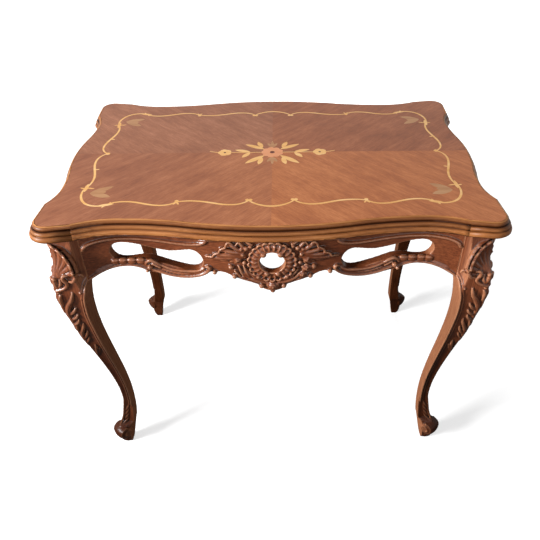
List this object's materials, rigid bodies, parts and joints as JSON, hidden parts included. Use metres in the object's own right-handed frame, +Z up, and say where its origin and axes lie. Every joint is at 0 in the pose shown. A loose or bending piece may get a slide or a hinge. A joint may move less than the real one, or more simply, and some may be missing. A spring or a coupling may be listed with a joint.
{
  "type": "occasional table",
  "caption": "Rectangular serpentine occasional table with a marquetry top, moulded edge, pierced carved aprons and carved cabriole legs ending in scroll toes.",
  "frame": {"origin": "on the floor under the middle of the top", "axes": "+X along the long front to the right, +Y to the back, +Z up"},
  "size_m": [0.738, 0.4958, 0.58],
  "materials": {
    "carved_walnut": "stained and waxed carved walnut",
    "moulding_walnut": "worn satin walnut moulding",
    "field_veneer": "satin quarter-matched veneer",
    "secondary_wood": "bare secondary wood",
    "boxwood_inlay": "satin pale inlay",
    "rose_inlay": "satin pinkish inlay",
    "dark_inlay": "satin dark inlay",
    "grey_inlay": "satin greyed inlay",
    "screw_steel": "plain steel"
  },
  "bodies": {
    "root": {"leg_front_left": "carved_walnut", "leg_front_right": "carved_walnut", "leg_back_left": "carved_walnut", "leg_back_right": "carved_walnut", "apron_front": "carved_walnut", "apron_right": "carved_walnut", "apron_back": "carved_walnut", "apron_left": "carved_walnut", "edge_moulding_front": "moulding_walnut", "edge_moulding_right": "moulding_walnut", "edge_moulding_back": "moulding_walnut", "edge_moulding_left": "moulding_walnut", "edge_moulding_ear_front_left": "moulding_walnut", "edge_moulding_ear_front_right": "moulding_walnut", "edge_moulding_ear_back_left": "moulding_walnut", "edge_moulding_ear_back_right": "moulding_walnut", "veneer_front_left": "field_veneer", "veneer_front_right": "field_veneer", "veneer_back_left": "field_veneer", "veneer_back_right": "field_veneer", "glue_block_front_right": "secondary_wood", "glue_block_front_left": "secondary_wood", "glue_block_right_right": "secondary_wood", "glue_block_right_left": "secondary_wood", "glue_block_back_right": "secondary_wood", "glue_block_back_left": "secondary_wood", "glue_block_left_right": "secondary_wood", "glue_block_left_left": "secondary_wood", "top_core": "secondary_wood", "joint_dowels": "secondary_wood", "marquetry_vine_border": "boxwood_inlay", "marquetry_leaves": "boxwood_inlay", "marquetry_small_flowers": "boxwood_inlay", "marquetry_stems": "boxwood_inlay", "marquetry_rose": "rose_inlay", "marquetry_eyes": "dark_inlay", "marquetry_buds": "grey_inlay", "marquetry_corner_motifs": "grey_inlay", "top_screws": "screw_steel"}
  },
  "joints": []
}
